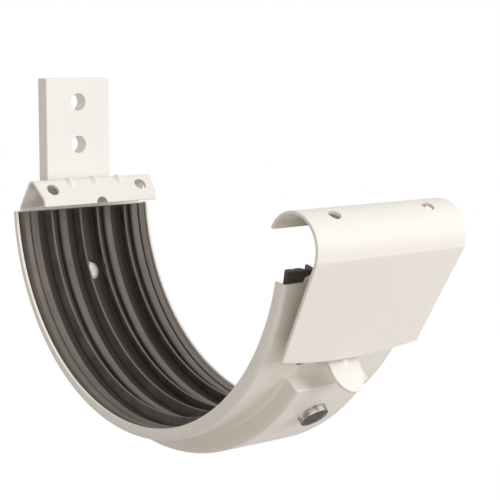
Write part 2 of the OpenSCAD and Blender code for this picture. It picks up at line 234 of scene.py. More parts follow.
def point_on(line, s):
    """Point, direction and left-hand normal of a bent line at lengths s, of any shape."""
    length, points, ways = line
    at = np.stack([np.interp(s, length, points[:, k]) for k in (0, 1)], axis=-1)
    way = np.stack([np.interp(s, length, ways[:, k]) for k in (0, 1)], axis=-1)
    way /= np.linalg.norm(way, axis=-1, keepdims=True)
    return at, way, np.stack([-way[..., 1], way[..., 0]], axis=-1)


# %% Strips
SHEET = 1.0
SHEET_ROUND = 0.22
QUARTER = np.radians([90.0, 60.0, 30.0])
NEAR_END = 0.05


def strip(name, line, half_width, thickness=SHEET, corner=SHEET_ROUND, start=0.0, end=None,
          across=9, longest=2.0, stretch=None, relief=None, round_start=True, round_end=True):
    """Closed skin of a strip along a line, with rows at most `longest` mm apart. The line's own
    points are rows too, apart from those within NEAR_END of an end.
    Point = core + corner * (cos f * section direction + sin f * line's direction). The core is
    the strip made smaller by the corner radius on all sides, and f goes from -90 degrees to 90
    at the two ends. half_width depends on the length, stretch and relief on length and width."""
    end = line[0][-1] if end is None else end
    first = start + corner * round_start
    last = end - corner * round_end
    steps = np.linspace(first, last, max(2, int((last - first) / longest) + 2))
    bends = line[0][(line[0] > first + NEAR_END) & (line[0] < last - NEAR_END)]
    core = np.unique(np.concatenate([steps, bends]))
    before, after = -QUARTER, QUARTER[::-1]
    s = np.concatenate([[first] * 4 * round_start, core, [last] * 4 * round_end])
    f = np.concatenate([[before[0]] * round_start, before[: 3 * round_start], 0 * core,
                        after[: 3 * round_end], [after[-1]] * round_end])
    flat = np.ones(len(s))
    flat[:: max(1, len(s) - 1)] = [1.0 - round_start, 1.0 - round_end]
    turn = np.radians(np.arange(0, 91, 30))
    span = np.linspace(1, -1, across)
    v = np.concatenate([np.ones(4), span, -np.ones(4), -np.ones(4), -span, np.ones(4)])
    h = np.repeat([1.0, 1.0, 1.0, -1.0, -1.0, -1.0], [4, across, 4, 4, across, 4])
    around = np.concatenate([turn, np.full(across, np.pi / 2), turn + np.pi / 2, turn + np.pi,
                             np.full(across, 1.5 * np.pi), turn + 1.5 * np.pi])
    s, f, flat = s[:, None], f[:, None], flat[:, None]
    x = v * (np.asarray(half_width(s)) - corner)
    lift = h * flat * (thickness / 2 - corner) + corner * np.cos(f) * np.sin(around)
    s_here = s + 0 * x if stretch is None else stretch(s + 0 * x, x)
    at, way, left = point_on(line, s_here)
    if relief is not None:
        lift = lift + relief(s_here, x)
    yz = at + left * lift[..., None] + way * (corner * np.sin(f))[..., None]
    x = x + corner * np.cos(f) * np.cos(around)
    return closed(grid_object(name, placed(x, yz), wrap_v=True))


# %% [markdown]
# The hanging bar is flat stock, 26 by 5 mm. It stands straight against the fascia, and below the
# gutter's axis it is bent round the saddle. Its line runs from the top down and round.

# %% The hanging bar
def even(value):
    """Half width that doesn't change along the strip."""
    return lambda s: value + 0 * s


bar_half, bar_thick = 13.0, 5.0
bar_radius, bar_top, bar_bottom = 71.5, 38.5, -140.6
bar_angles = np.linspace(0, bar_bottom, 72)
bar_points = np.concatenate([[[bar_radius + body_centre[0], bar_top]],
                             on_body(bar_radius, bar_angles)])
bar_ways = np.concatenate([[[0, -1]], direction(bar_angles - 90)])
bar_line = measured(bar_points, bar_ways)
bar = strip("hanging_bar", bar_line, even(bar_half), bar_thick, corner=0.4, longest=3.0)
print("bar's length mm:", round(float(bar_line[0][-1]), 1))

# %% [markdown]
# Two screw holes go through the bar above the gutter, and two rivets through bar and saddle. The
# drills are round pieces, and so are the rivets later, so both are spun from a profile. The screw
# holes widen at both faces, where the punch drew the steel in.

# %% Drilled holes
def spun(name, centre, axis, profile, sides=48):
    """Profile of (distance from the axis, distance along it), in mm, spun once round.
    p = centre + h axis + r (cos f x + sin f side), with side at right angles to axis and x."""
    axis = np.asarray(axis, float)
    side = np.cross(axis, ALONG_GUTTER)
    f = np.linspace(0, 2 * np.pi, sides, endpoint=False)[:, None, None]
    line = np.asarray(profile, float)
    r, h = np.maximum(line[None, :, :1], 0), line[None, :, 1:]
    shift = h * axis + r * (np.cos(f) * ALONG_GUTTER + np.sin(f) * side)
    length = np.linalg.norm(np.diff(line, axis=0), axis=1).sum()
    points = (np.asarray(centre) + shift) * MM + gutter_axis
    return closed(grid_object(name, points, wrap_u=True, uv_size=(1.0, length)))


def drill(x, yz, out, radius, low=-3.0, high=3.0, flare=0.0):
    """Closed drill at a drawn point. With a flare, it widens as it passes the bar's faces: by
    nothing at `flare` mm inside a face, by 0.3 flare at the face, and as a cone beyond it."""
    profile = [(0, low), (radius, low), (radius, high), (0, high)]
    if flare:
        face = bar_thick / 2
        rim, mouth = radius + flare * 0.3, radius + flare - face
        profile = [(0, low), (mouth - low, low), (rim, -face), (radius, flare - face),
                   (radius, face - flare), (rim, face), (mouth + high, high), (0, high)]
    return spun("drill", [x, *yz], [0.0, *out], profile)


def radial_drill(x, degrees, radius, low=66.0, high=76.0):
    """Closed drill on a line through the body's centre, from radius low to radius high."""
    middle = 71.0
    yz = on_body(middle, degrees)
    return drill(x, yz, direction(degrees), radius, low - middle, high - middle)


front_rivet_at, rear_rivet_at = -131.0, -23.0
bore_radius, screw_radius = 2.4, 2.9
screws_at, screws_apart = 23.05, 14.5
screw_x = bar_radius + body_centre[0]
screw_holes = [drill(0.0, [screw_x, screws_at + up], [1.0, 0.0], screw_radius, flare=0.3)
               for up in (screws_apart / 2, -screws_apart / 2)]
bores = [radial_drill(0.0, a, bore_radius) for a in (front_rivet_at, rear_rivet_at)]
cut_away(bar, screw_holes + bores)
finish_piece(bar, ["flat_bar"])

# %% [markdown]
# The clip is one strip of sheet. Its curl is struck round the gutter's front bead. The sheet
# leaves it at a crease, where the bending tool let go, and runs on as a flat apron. The apron
# narrows downwards and its lower edge bows, so the strip's width depends on the length along it,
# and its length on the place across it.

# %% The front clip
bead_centre = np.array([-73.0, -4.3])
lean = np.radians(29.0)
apron_down = np.array([np.sin(lean), -np.cos(lean)])
apron_in = np.array([np.cos(lean), np.sin(lean)])
crease = bead_centre + 10.0 * direction(200.0)
curl_radius, curl_angles = 9.5, np.linspace(29.0, 188.0, 54)
apron_top, apron_long = crease + 0.35 * apron_in, 35.5
clip_points = np.concatenate([bead_centre + curl_radius * direction(curl_angles),
                              [apron_top], [apron_top + apron_long * apron_down]])
clip_ways = np.concatenate([direction(curl_angles + 90.0), [apron_down], [apron_down]])
clip_line = measured(clip_points, clip_ways)
crease_at = clip_line[0][-2]
clip_wide, clip_narrow, narrow_at = 28.8, 26.5, 33.0
bow = 141.7


def clip_half_width(s):
    """clip_wide over the curl, then in a straight line to clip_narrow at narrow_at mm down."""
    return clip_wide - (clip_wide - clip_narrow) * np.clip((s - crease_at) / narrow_at, 0, 1)


def bowed(s, x):
    """Lengths down the apron, scaled so that its lower edge is an arc with the bow's radius."""
    short = bow - np.sqrt(bow**2 - x**2)
    down = np.maximum(s - crease_at, 0)
    return s - down * short / apron_long


clip = strip("clip_sheet", clip_line, clip_half_width, across=25, stretch=bowed)
hole_at, hole_x, hole_radius = 119.0, 18.1, 2.0
hole = bead_centre + curl_radius * direction(hole_at)
cut_away(clip, [drill(x, hole, direction(hole_at), hole_radius) for x in (-hole_x, hole_x)])
finish_piece(clip, ["front_clip"])

# %% [markdown]
# The saddle's wall is a sheet bent to a half circle, with both borders folded inwards as lips.
# Along its middle the sheet is pressed outwards into a channel that holds the bar. All of it is
# one section carried about the body's centre. The lips' inner edges lie on a circle about the
# gutter's own axis, so the section changes a little with the angle.

# %% Rounded sections
def rounded(corners, radii, steps=5):
    """Closed outlines with each corner replaced by an arc.
    With u and w the directions to the two neighbours and h half the angle between them, the
    arc's centre lies on their bisector at r / sin(h), and it starts r / tan(h) from the corner."""
    p = np.asarray(corners, float)
    r = np.broadcast_to(np.asarray(radii, float)[:, None], p.shape[-2:-1] + (1,))
    u = np.roll(p, 1, axis=-2) - p
    w = np.roll(p, -1, axis=-2) - p
    u = u / np.linalg.norm(u, axis=-1, keepdims=True)
    w = w / np.linalg.norm(w, axis=-1, keepdims=True)
    half = 0.5 * np.arccos(np.clip((u * w).sum(-1, keepdims=True), -1, 1))
    bisector = (u + w) / np.linalg.norm(u + w, axis=-1, keepdims=True)
    centre = p + bisector * r / np.sin(half)
    first = (p + u * r / np.tan(half) - centre) / r
    last = (p + w * r / np.tan(half) - centre) / r
    turn = (np.pi - 2 * half)[..., None]
    s = np.linspace(0, 1, steps)[:, None]
    arc = np.sin((1 - s) * turn) * first[..., None, :] + np.sin(s * turn) * last[..., None, :]
    points = centre[..., None, :] + r[..., None] * arc / np.sin(turn)
    return points.reshape(p.shape[:-2] + (-1, 2))


def mirrored(half, radii):
    """Whole outline from the half with positive x, and its corner radii."""
    other = half[..., ::-1, :] * [1.0, -1.0]
    return np.concatenate([half, other], axis=-2), np.concatenate([radii, radii[::-1]])


def carried(name, corners, radii, angles, soft_start=0.0, soft_end=0.0, uv_size=(1.0, 1.0)):
    """Section of (radius, x) corners carried about the body's centre, from angle to angle.
    A soft end draws the section in by r (1 - cos f) while it goes on by r sin f. In degrees,
    that step is taken at the wall's mean radius."""
    wall_radius, no_zero = 70.0, 1e-12
    section, radii = mirrored(np.asarray(corners, float), np.asarray(radii, float))
    loops = rounded(section, radii)
    if loops.ndim == 2:
        loops = np.broadcast_to(loops, (len(angles),) + loops.shape)
    ahead = np.roll(loops, -1, axis=1) - np.roll(loops, 1, axis=1)
    out = np.stack([ahead[..., 1], -ahead[..., 0]], axis=-1)
    out /= np.linalg.norm(out, axis=-1, keepdims=True) + no_zero
    r, x = loops[0].T
    out *= np.sign((r * np.roll(x, -1) - np.roll(r, -1) * x).sum())
    way = np.sign(angles[-1] - angles[0])
    if soft_start:
        draw = soft_start * (1 - np.cos(QUARTER))[:, None, None]
        more = way * np.degrees(soft_start * np.sin(QUARTER) / wall_radius)
        loops = np.concatenate([loops[:1] - out[:1] * draw, loops])
        angles = np.concatenate([angles[0] - more, angles])
    if soft_end:
        draw = soft_end * (1 - np.cos(QUARTER[::-1]))[:, None, None]
        more = way * np.degrees(soft_end * np.sin(QUARTER[::-1]) / wall_radius)
        loops = np.concatenate([loops, loops[-1:] - out[-1:] * draw])
        angles = np.concatenate([angles, angles[-1] + more])
    yz = on_body(loops[..., 0], angles[:, None])
    return closed(grid_object(name, placed(loops[..., 1], yz), wrap_v=True, uv_size=uv_size))


# %% [markdown]
# The wall has three stretches: a short one at the rear, the long middle one with the channel, and
# one in front. At its front end the channel is closed by a short wall of its own. Each rivet goes
# through a bore in the channel, and two small holes are left in the front wall.

# %% The saddle's wall and channel
wall_rear, mouth, channel_end, wall_front = -4.07, -12.0, -141.0, -167.79
wall_out, wall_in, wall_half = 69.0, 68.0, 27.3
channel_out, channel_half = 75.0, 14.35
lip_circle = 66.0


def lip_radius(degrees):
    """Distance from the body's centre to the lips' circle about the gutter's axis.
    r = g.d + sqrt(circle ** 2 - g.g + (g.d) ** 2), with g the axis seen from the centre."""
    along = -(direction(degrees) * body_centre).sum(-1)
    return along + np.sqrt(lip_circle**2 - (body_centre**2).sum() + along**2)


def lip_corners(angles):
    """Fold, both edges of the lip, and the fold's inner corner."""
    lip = lip_radius(angles)
    radius = np.stack([np.full_like(lip, wall_out), lip, lip, np.full_like(lip, wall_in)], axis=-1)
    x = [wall_half, wall_half, wall_half - SHEET, wall_half - SHEET]
    return np.stack([radius, np.broadcast_to(x, radius.shape)], axis=-1)


def fixed_corners(points, angles):
    """The same corners at every angle."""
    return np.broadcast_to(np.asarray(points, float), (len(angles), len(points), 2))


lip_round = [1.5, SHEET_ROUND, SHEET_ROUND, 0.5]
rear_angles = np.linspace(wall_rear, mouth, 9)
mid_angles = np.linspace(mouth, channel_end, 131)
front_angles = np.linspace(channel_end, wall_front, 28)
rear_wall = carried("rear_wall", lip_corners(rear_angles), lip_round, rear_angles)
front_wall = carried("front_wall", lip_corners(front_angles), lip_round, front_angles,
                     soft_end=0.12)
channel_outside = [(channel_out, channel_half), (wall_out, channel_half)]
channel_inside = [(wall_in, channel_half - SHEET), (channel_out - SHEET, channel_half - SHEET)]
channel = carried(
    "channel",
    np.concatenate([fixed_corners(channel_outside, mid_angles), lip_corners(mid_angles),
                    fixed_corners(channel_inside, mid_angles)], axis=1),
    [1.2, 1.5] + lip_round + [0.2, 0.25],
    mid_angles,
)
stop_angles = np.linspace(channel_end, channel_end - 0.02, 3)
stop_foot = [(68.95, channel_half), (68.95, 16.2), (68.3, 16.2)]
stop = carried("channel_stop", fixed_corners([(channel_out, channel_half)] + stop_foot, stop_angles),
               [1.2, 1.5, 0.1, 0.1], stop_angles, soft_end=0.35)
hole_at, hole_x, hole_radius = -145.75, 11.2, 1.7
cut_away(front_wall, [radial_drill(x, hole_at, hole_radius) for x in (-hole_x, hole_x)])
cut_away(channel, [radial_drill(0.0, a, bore_radius) for a in (front_rivet_at, rear_rivet_at)])
print("lip's radius mm, from rear to front:", np.round(lip_radius(mid_angles[::65]), 2))

# %% [markdown]
# At the rear the sheet goes on upwards, folds over forwards and ends in a short lip, which hooks
# over the gutter's rear edge. Three small beads are pressed across the fold to keep it from
# opening. A pressed bead is no extra part: the sheet itself rises, so it is a relief that moves
# both faces of the strip by the same amount.

# %% The folded nose
wall_middle = (wall_out + wall_in) / 2
nose_start = on_body(wall_middle, wall_rear)
nose_top = np.array([nose_start[0] - 6.6, 5.3])
nose_kink = np.array([nose_start[0] - 12.0, -0.9])
nose_lip = 2.6
nose_edge = nose_kink + [-0.5, -nose_lip]
nose_up = direction(wall_rear + 90.0)
nose_line = bent_line([nose_start, nose_start + nose_up, nose_top, nose_kink, nose_edge],
                      [1.5, 1.5, 1.0])
slope = np.linalg.norm(nose_top - nose_kink)
slope_way = (nose_kink - nose_top) / slope
kink_at = nose_line[0][-1] - nose_lip
fold_at = kink_at - slope
nose_wide, nose_taper = 24.2, 1.4
bead_x, bead_at = np.array([-10.0, 0.0, 10.0]), fold_at + 2.0
bead_half, bead_high = (1.5, 2.6), 0.95


def nose_half_width(s):
    """nose_wide up to the fold, then narrower by nose_taper near the lip's edge."""
    return nose_wide - nose_taper * np.clip((s - fold_at) / (slope + 1.8), 0, 1)


def nose_relief(s, x):
    """Three beads: bead_high (1 - d2)^1.5 inside an ellipse, with d2 its squared distance."""
    across, along = (x[..., None] - bead_x) / bead_half[0], (s[..., None] - bead_at) / bead_half[1]
    return -bead_high * (np.clip(1 - across**2 - along**2, 0, 1) ** 1.5).sum(-1)


nose = strip("nose", nose_line, nose_half_width, across=141, longest=0.35, relief=nose_relief,
             round_start=False)
hole, hole_x, hole_radius = nose_kink - slope_way * slope * 0.4, 17.9, 2.2
nose_out = np.array([slope_way[1], -slope_way[0]])
nose_holes = [drill(x, hole, nose_out, hole_radius) for x in (-hole_x, hole_x)]
notch = drill(0.0, nose_edge, [1.0, 0.0], hole_radius)
cut_away(nose, nose_holes + [notch])
print("nose mm:", round(float(nose_line[0][-1]), 2), "slope:", round(float(slope), 2))

# %% [markdown]
# In front the sheet runs up as a leaf spring, folds over behind the apron, lies flat against it
# and comes out below as a finger tab. The fitter pulls the tab to open the clip. The leaf is wide
# where it is hidden and narrow at the tab, so it is two strips on one line, and a half disc
# rounds the tab's end.

# %% The spring leaf and the finger tab
leaf_start = on_body(wall_middle, wall_front)
leaf_up = direction(wall_front - 90.0)
leaf_head = crease + apron_in * 1.5
tab_root = leaf_head + apron_down * 36.9 + apron_in * 2.6
tab_lean, tab_long, tab_half = np.radians(35.5), 12.5, 5.75
tab_way = np.array([-np.sin(tab_lean), -np.cos(tab_lean)])
tab_tip = tab_root + tab_long * tab_way
leaf_line = bent_line([leaf_start, leaf_start + leaf_up, leaf_head + apron_down * 2.0,
                       leaf_head + apron_down * 12.0, tab_root, tab_tip],
                      [1.5, 1.5, 1.5, 1.5])
leaf_long, leaf_half, stem = leaf_line[0][-1], 19.5, 9.7
shoulder = leaf_long - tab_long - stem
tab_oval = tab_half / np.cos(tab_lean)
tab_round_at = leaf_long - tab_oval
dimple_at, dimple_radius, dimple_high = leaf_long - tab_long + 2.6, 1.7, 0.9


def dimple(s, x):
    """Round pip on the tab: dimple_high (1 - d2)^1.5, with d2 the squared distance over its
    radius. The sign puts it on the side that faces out."""
    d2 = (x**2 + (s - dimple_at) ** 2) / dimple_radius**2
    return -dimple_high * np.clip(1 - d2, 0, 1) ** 1.5


leaf = strip("leaf", leaf_line, even(leaf_half), end=shoulder, round_start=False)
tab = strip("tab", leaf_line, even(tab_half), start=shoulder, end=tab_round_at, across=41,
            longest=0.35, relief=dimple, round_start=False, round_end=False)
print("leaf mm:", round(float(leaf_long), 2), "shoulder at", round(float(shoulder), 2))

# %% [markdown]
# The tab's end is half an oval, which looks round from the side where the fitter stands. Its rows
# fan out from one point, and each carries the same rounded rim as the sheet's other edges. All
# the saddle's sheets are then joined.

# %% The tab's round end
half_turn = np.radians(np.linspace(0, 180, 37))[:, None]
rim = np.concatenate([QUARTER, [0.0, 0.0], -QUARTER[::-1]])
rim_r = np.concatenate([[0.0], tab_half - SHEET_ROUND + SHEET_ROUND * np.cos(rim), [0.0]])
rim_h = np.repeat([0.5 * SHEET - SHEET_ROUND, SHEET_ROUND - 0.5 * SHEET], 4)
rim_h = np.concatenate([[0.5 * SHEET], rim_h + SHEET_ROUND * np.sin(rim), [-0.5 * SHEET]])
end_at, end_way, end_left = point_on(leaf_line, np.array(tab_round_at))
oval = np.sin(half_turn) * rim_r * tab_oval / tab_half
end_yz = end_at + oval[..., None] * end_way + rim_h[:, None] * end_left
tab_end = closed(grid_object("tab_end", placed(np.cos(half_turn) * rim_r, end_yz)))
saddle = joined("saddle_sheet", [rear_wall, channel, stop, front_wall, nose, leaf, tab, tab_end])
finish_piece(saddle, ["body_shell"])

# %% [markdown]
# The seal is an extruded strip of rubber: two tall fins and two low ribs on each side of its
# middle, and a raised edge along each border. Its section is carried along the arc in the same
# way as the wall. Rubber never has a sharp corner, so every corner of the section is rounded.

# %% The ribbed seal
web = 0.8
rib_at = 3.4 + 5.75 * np.arange(4)
low_rib, tall_fin = (2.3, 2.8, 0.5, 0.0), (4.4, 1.0, 0.0, 0.9)


def rib(at, height, crest, flank, lean_in):
    """Four corners of a rib, as height above the seal's back and place along the gutter."""
    half = crest / 2
    foot = at + lean_in
    return [(web, foot + half + flank), (height, at + half), (height, at - half),
            (web, foot - half - flank)]


border = [(0.0, 25.5), (0.5, 26.0), (0.9, 26.0), (2.3, 24.6), (2.3, 22.6), (web, 22.1)]
seal_half = np.array(border + rib(rib_at[3], *low_rib) + rib(rib_at[2], *tall_fin)
                     + rib(rib_at[1], *low_rib) + rib(rib_at[0], *tall_fin))
seal_half[:, 0] = wall_in - seal_half[:, 0]
low_round, fin_round = [0.3, 1.0, 1.0, 0.3], [0.3, 0.4, 0.4, 0.3]
seal_round = [0.1, 0.1, 0.2, 0.35, 0.35, 0.3] + (low_round + fin_round) * 2
seal_angles = np.linspace(-4.47, -170.7, 167)
seal_long, seal_girth = 0.197, 0.09
seal = carried("ribbed_seal", seal_half, seal_round, seal_angles, soft_start=0.08,
               soft_end=0.08, uv_size=(seal_long, seal_girth))
hole_radius = 3.4
cut_away(seal, [radial_drill(0.0, rear_rivet_at, hole_radius, low=60.0, high=70.0)])
finish_piece(seal, ["rubber_seal"])

# %% [markdown]
# Rivets are headed round their own axis, so each is a profile spun once round. The front one is
# bare steel: its outer face is a little dished inside a raised rim. The rear one went through the
# paint shop with the saddle, and its inner head shows in the hole of the seal.

# %% The rivets
def rivet(name, degrees, profile, radii):
    """Rivet from (distance from its axis, distance from the body's centre), its corners rounded.
    The outline's first and last corners lie on the axis, so they stay as they are."""
    arcs, least = 5, 0.001
    line = rounded(np.asarray(profile), np.maximum(radii, least), steps=arcs)[arcs:-arcs]
    line = np.concatenate([profile[:1], line, profile[-1:]])
    return spun(name, [0.0, *body_centre], [0.0, *direction(degrees)], line, sides=96)


steel_rivet = rivet(
    "front_rivet_body", front_rivet_at,
    [(0.0, 76.82), (3.5, 76.82), (3.8, 77.0), (4.5, 77.0), (4.5, 74.8), (2.4, 74.8), (2.4, 68.9),
     (3.2, 68.9), (3.2, 68.33), (0.0, 68.33)],
    [0, 0.15, 0.15, 0.3, 0.1, 0.1, 0.1, 0.1, 0.2, 0])
painted_rivet = rivet(
    "rear_rivet_body", rear_rivet_at,
    [(0.0, 76.2), (2.0, 76.2), (3.2, 75.6), (3.2, 74.8), (2.4, 74.8), (2.4, 68.95), (3.2, 68.95),
     (3.2, 67.9), (2.0, 67.13), (0.0, 67.13)],
    [0, 1.2, 0.3, 0.1, 0.1, 0.1, 0.1, 0.4, 1.0, 0])
finish_piece(steel_rivet, ["front_rivet"])
finish_piece(painted_rivet, ["rear_rivet"])

# %% [markdown]
# Node groups are the recipes that several finishes share. Each has named inputs and outputs, and
# puts out only colours, values, heights and directions. The shader stays in the material. Every
# node is added together with what feeds it, so a recipe can be read from its start to its end.

# %% Helpers for node trees
COLUMN, ROW = 200, 90


def feed(tree, node, inputs):
    """Fills in inputs of a node, by name or number. Each gets a value, or the output that feeds
    it, written as (node, output). The node stands a column to the right of what feeds it."""
    for key, value in inputs.items():
        if isinstance(value, tuple) and isinstance(value[0], bpy.types.Node):
            source, output = value
            tree.links.new(source.outputs[output], node.inputs[key])
            node.location.x = max(node.location.x, source.location.x + COLUMN)
        else:
            node.inputs[key].default_value = value


def add_node(tree, kind, inputs=None, **settings):
    """New node, a row below the last one, with its plain settings and its inputs filled in."""
    made = tree.nodes.new("ShaderNode" + kind)
    made.location.y = -ROW * len(tree.nodes)
    for key, value in settings.items():
        setattr(made, key, value)
    feed(tree, made, inputs or {})
    return made


def noise(tree, place, scale, detail=2.0):
    """Noise with `scale` patches per metre of the place, each broken up `detail` times."""
    return add_node(tree, "TexNoise", {"Vector": place, "Scale": scale, "Detail": detail})


def maths(tree, operation, *values, kind="Math"):
    """Math node on one or two values, or on vectors with the kind VectorMath."""
    return add_node(tree, kind, dict(enumerate(values)), operation=operation)


def value_map(tree, value, span, to, smooth=False):
    """Map Range node: a value from one end of span to the other comes out from end to end of to."""
    names = ("Value", "From Min", "From Max", "To Min", "To Max")
    return add_node(tree, "MapRange", dict(zip(names, (value, *span, *to))),
                    interpolation_type="SMOOTHSTEP" if smooth else "LINEAR")


def mix(tree, factor, a, b, data_type="RGBA", blend_type="MIX"):
    """Mix node, for colours unless the data type says otherwise: a at factor 0 and b at 1."""
    return add_node(tree, "Mix", {"Factor": factor, "A": a, "B": b},
                    data_type=data_type, blend_type=blend_type)


def bumps(tree, strength, distance, height, normal):
    """Bump node: a height from 0 to 1 stands for 0 to distance, on top of a normal."""
    return add_node(tree, "Bump", {"Strength": strength, "Distance": distance,
                                   "Height": height, "Normal": normal})


def start_group(name, inputs, outputs):
    """Node group with its sockets: each is a name, a kind of socket and, for inputs, a value."""
    tree = bpy.data.node_groups.new(name, "ShaderNodeTree")
    for label, kind, value in inputs:
        made = tree.interface.new_socket(label, in_out="INPUT", socket_type="NodeSocket" + kind)
        if value is not None:
            made.default_value = value
    for label, kind in outputs:
        tree.interface.new_socket(label, in_out="OUTPUT", socket_type="NodeSocket" + kind)
    return tree, tree.nodes.new("NodeGroupInput"), tree.nodes.new("NodeGroupOutput")


def group_in(tree, group, **inputs):
    """Places a node group and fills in its inputs; a name's underscores stand for spaces."""
    named = {key.replace("_", " "): value for key, value in inputs.items()}
    return add_node(tree, "Group", named, node_tree=group)


# %% [markdown]
# A baked coat has a fine orange peel with a finer grit in it, and its tone and gloss drift a
# little in clouds as wide as a thumb. Three noises of very different scale make the three.

# %% Group: the skin of a baked coat
coat, c_in, c_out = start_group(
    "Baked coat",
    [("Vector", "Vector", None), ("Colour", "Color", (0.88, 0.85, 0.8, 1)),
     ("Cloud colour", "Color", (0.84, 0.82, 0.79, 1)), ("Peel per metre", "Float", 900.0),
     ("Roughness", "Float", 0.35)],
    [("Colour", "Color"), ("Roughness", "Float"), ("Height", "Float")])
here, peel_scale = (c_in, "Vector"), (c_in, "Peel per metre")
peel = noise(coat, here, peel_scale)
finer = maths(coat, "MULTIPLY", peel_scale, 4.3)
grit = noise(coat, here, (finer, 0))
cloud = noise(coat, here, 34.0, 3.0)
height = mix(coat, 0.25, (peel, "Fac"), (grit, "Fac"), data_type="FLOAT")
tone = mix(coat, (cloud, "Fac"), (c_in, "Colour"), (c_in, "Cloud colour"))
spread = value_map(coat, (cloud, "Fac"), (0.3, 0.7), (-0.04, 0.04))
rough = maths(coat, "ADD", (c_in, "Roughness"), (spread, "Result"))
feed(coat, c_out, {"Colour": (tone, "Result"), "Roughness": (rough, 0),
                   "Height": (height, "Result")})

# %% [markdown]
# Paint draws back from a cut edge as it melts, and hands and packing rub the same edges first. The
# finishes also paint a highlight along these edges.
# The next group finds edges in the shading itself. It compares the true direction of the
# surface with one that is averaged over a small ball: on a flat they agree, and near an edge
# they part. That needs no extra mesh and works on every piece. It also gives a direction that is
# averaged over half that ball, which rounds the last sharp rims of the drilled holes.

# %% Group: edges that wear first and carry a painted highlight
edges, e_in, e_out = start_group(
    "Worn and highlit edges",
    [("Vector", "Vector", None), ("Radius", "Float", 0.0003),
     ("Patches per metre", "Float", 260.0), ("Amount", "Float", 1.0)],
    [("Mask", "Float"), ("Normal", "Vector")])
soft = add_node(edges, "Bevel", {"Radius": (e_in, "Radius")}, samples=8)
half_ball = maths(edges, "MULTIPLY", (e_in, "Radius"), 0.5)
rounder = add_node(edges, "Bevel", {"Radius": (half_ball, 0)}, samples=8)
true = add_node(edges, "NewGeometry")
agree = maths(edges, "DOT_PRODUCT", (soft, "Normal"), (true, "Normal"), kind="VectorMath")
flat_to_edge = (0.995, 0.86)
parted = value_map(edges, (agree, "Value"), flat_to_edge, (0.0, 1.0), smooth=True)
patches = noise(edges, (e_in, "Vector"), (e_in, "Patches per metre"), 4.0)
broken = value_map(edges, (patches, "Fac"), (0.35, 0.6), (0.35, 1.0))
worn_and_highlit = maths(edges, "MULTIPLY", (parted, "Result"), (broken, "Result"))
amount = maths(edges, "MULTIPLY", (worn_and_highlit, 0), (e_in, "Amount"))
feed(edges, e_out, {"Mask": (amount, 0), "Normal": (rounder, "Normal")})

# %% [markdown]
# Two finishes follow a round form: the rubber is darkest where it lies deepest in the bend, and
# the rivet's marks run round its axis. Both need to know where a point lies about a line, so one
# group answers that for any line: how far away from it, and how squarely the surface faces along
# it or away from it.

# %% Group: place about a line
about, a_in, a_out = start_group(
    "Place about a line",
    [("Vector", "Vector", None), ("Start", "Vector", (0, 0, 0)),
     ("Direction", "Vector", (0, 0, 1))],
    [("Away", "Float"), ("Facing", "Float"), ("Outward", "Float")])


def arrows(operation, *values):
    """Vector Math node in this group."""
    return maths(about, operation, *values, kind="VectorMath")


surface, line_way = add_node(about, "NewGeometry"), (a_in, "Direction")
offset = arrows("SUBTRACT", (a_in, "Vector"), (a_in, "Start"))
along = arrows("DOT_PRODUCT", (offset, 0), line_way)
foot = arrows("SCALE", line_way)
feed(about, foot, {"Scale": (along, "Value")})
aside = arrows("SUBTRACT", (offset, 0), (foot, 0))
away = arrows("LENGTH", (aside, 0))
facing = arrows("DOT_PRODUCT", (surface, "Normal"), line_way)
spoke = arrows("NORMALIZE", (aside, 0))
outward = arrows("DOT_PRODUCT", (spoke, 0), (surface, "Normal"))
feed(about, a_out, {"Away": (away, "Value"), "Facing": (facing, "Value"),
                    "Outward": (outward, "Value")})
print("groups:", [group.name for group in (coat, edges, about)])

# %% [markdown]
# The saddle and the clip are sheet steel with a baked coat, the bar is thicker and was coated in a
# heavier layer. Both use the same recipe with their own values: a faint orange peel in the surface,
# clouds of a slightly darker tone, and thin pale edges, partly where the coat drew back and partly a
# painted highlight. The bar's colours are a little paler than the sheet's, as painted light for the
# brighter light on its front.

# %% Coated steel
def start_material(name):
    """New material with its tree, its Principled shader and a Texture Coordinate node."""
    made = bpy.data.materials.new(name)
    made.use_nodes = True
    tree = made.node_tree
    return made, tree, tree.nodes["Principled BSDF"], add_node(tree, "TexCoord")


def coated(name, peel_per_metre, depth, roughness, colour, clouds, edge_tone):
    """Baked coat. One group gives its colour, roughness and peel. Where the other finds an edge, the
    colour goes half way to edge_tone, a pale line that is partly a painted highlight, and the
    roughness falls by up to 0.05."""
    made, tree, shader, place = start_material(name)
    here = (place, "Object")
    skin = group_in(tree, coat, Vector=here, Colour=colour, Cloud_colour=clouds,
                    Peel_per_metre=peel_per_metre, Roughness=roughness)
    rim = group_in(tree, edges, Vector=here, Radius=0.4 * MM, Patches_per_metre=240.0, Amount=0.5)
    paler = mix(tree, (rim, "Mask"), (skin, "Colour"), edge_tone)
    gloss = value_map(tree, (rim, "Mask"), (0.0, 1.0), (0.0, -0.1))
    rough = maths(tree, "ADD", (skin, "Roughness"), (gloss, "Result"))
    bump = bumps(tree, 0.6, depth, (skin, "Height"), (rim, "Normal"))
    feed(tree, shader, {"Base Color": (paler, "Result"), "Roughness": (rough, 0),
                        "Normal": (bump, "Normal")})
    return made


sheet_white, sheet_shade = (0.865, 0.838, 0.785, 1), (0.85, 0.82, 0.765, 1)
# The bar's colours are paler than the sheet's: painted light, for the brighter light on its front.
bar_lit_white, bar_lit_clouds = (0.893, 0.876, 0.833, 1), (0.878, 0.857, 0.812, 1)
# Pale edge tone: partly the coat drawn back, partly a painted highlight along the edges.
pale_edge_highlight = (0.97, 0.965, 0.94, 1)
sheet_paint = coated("Sheet coating", 700.0, 0.012 * MM, 0.36, sheet_white, sheet_shade, pale_edge_highlight)
bar_paint = coated("Bar coating", 450.0, 0.02 * MM, 0.42, bar_lit_white, bar_lit_clouds, pale_edge_highlight)
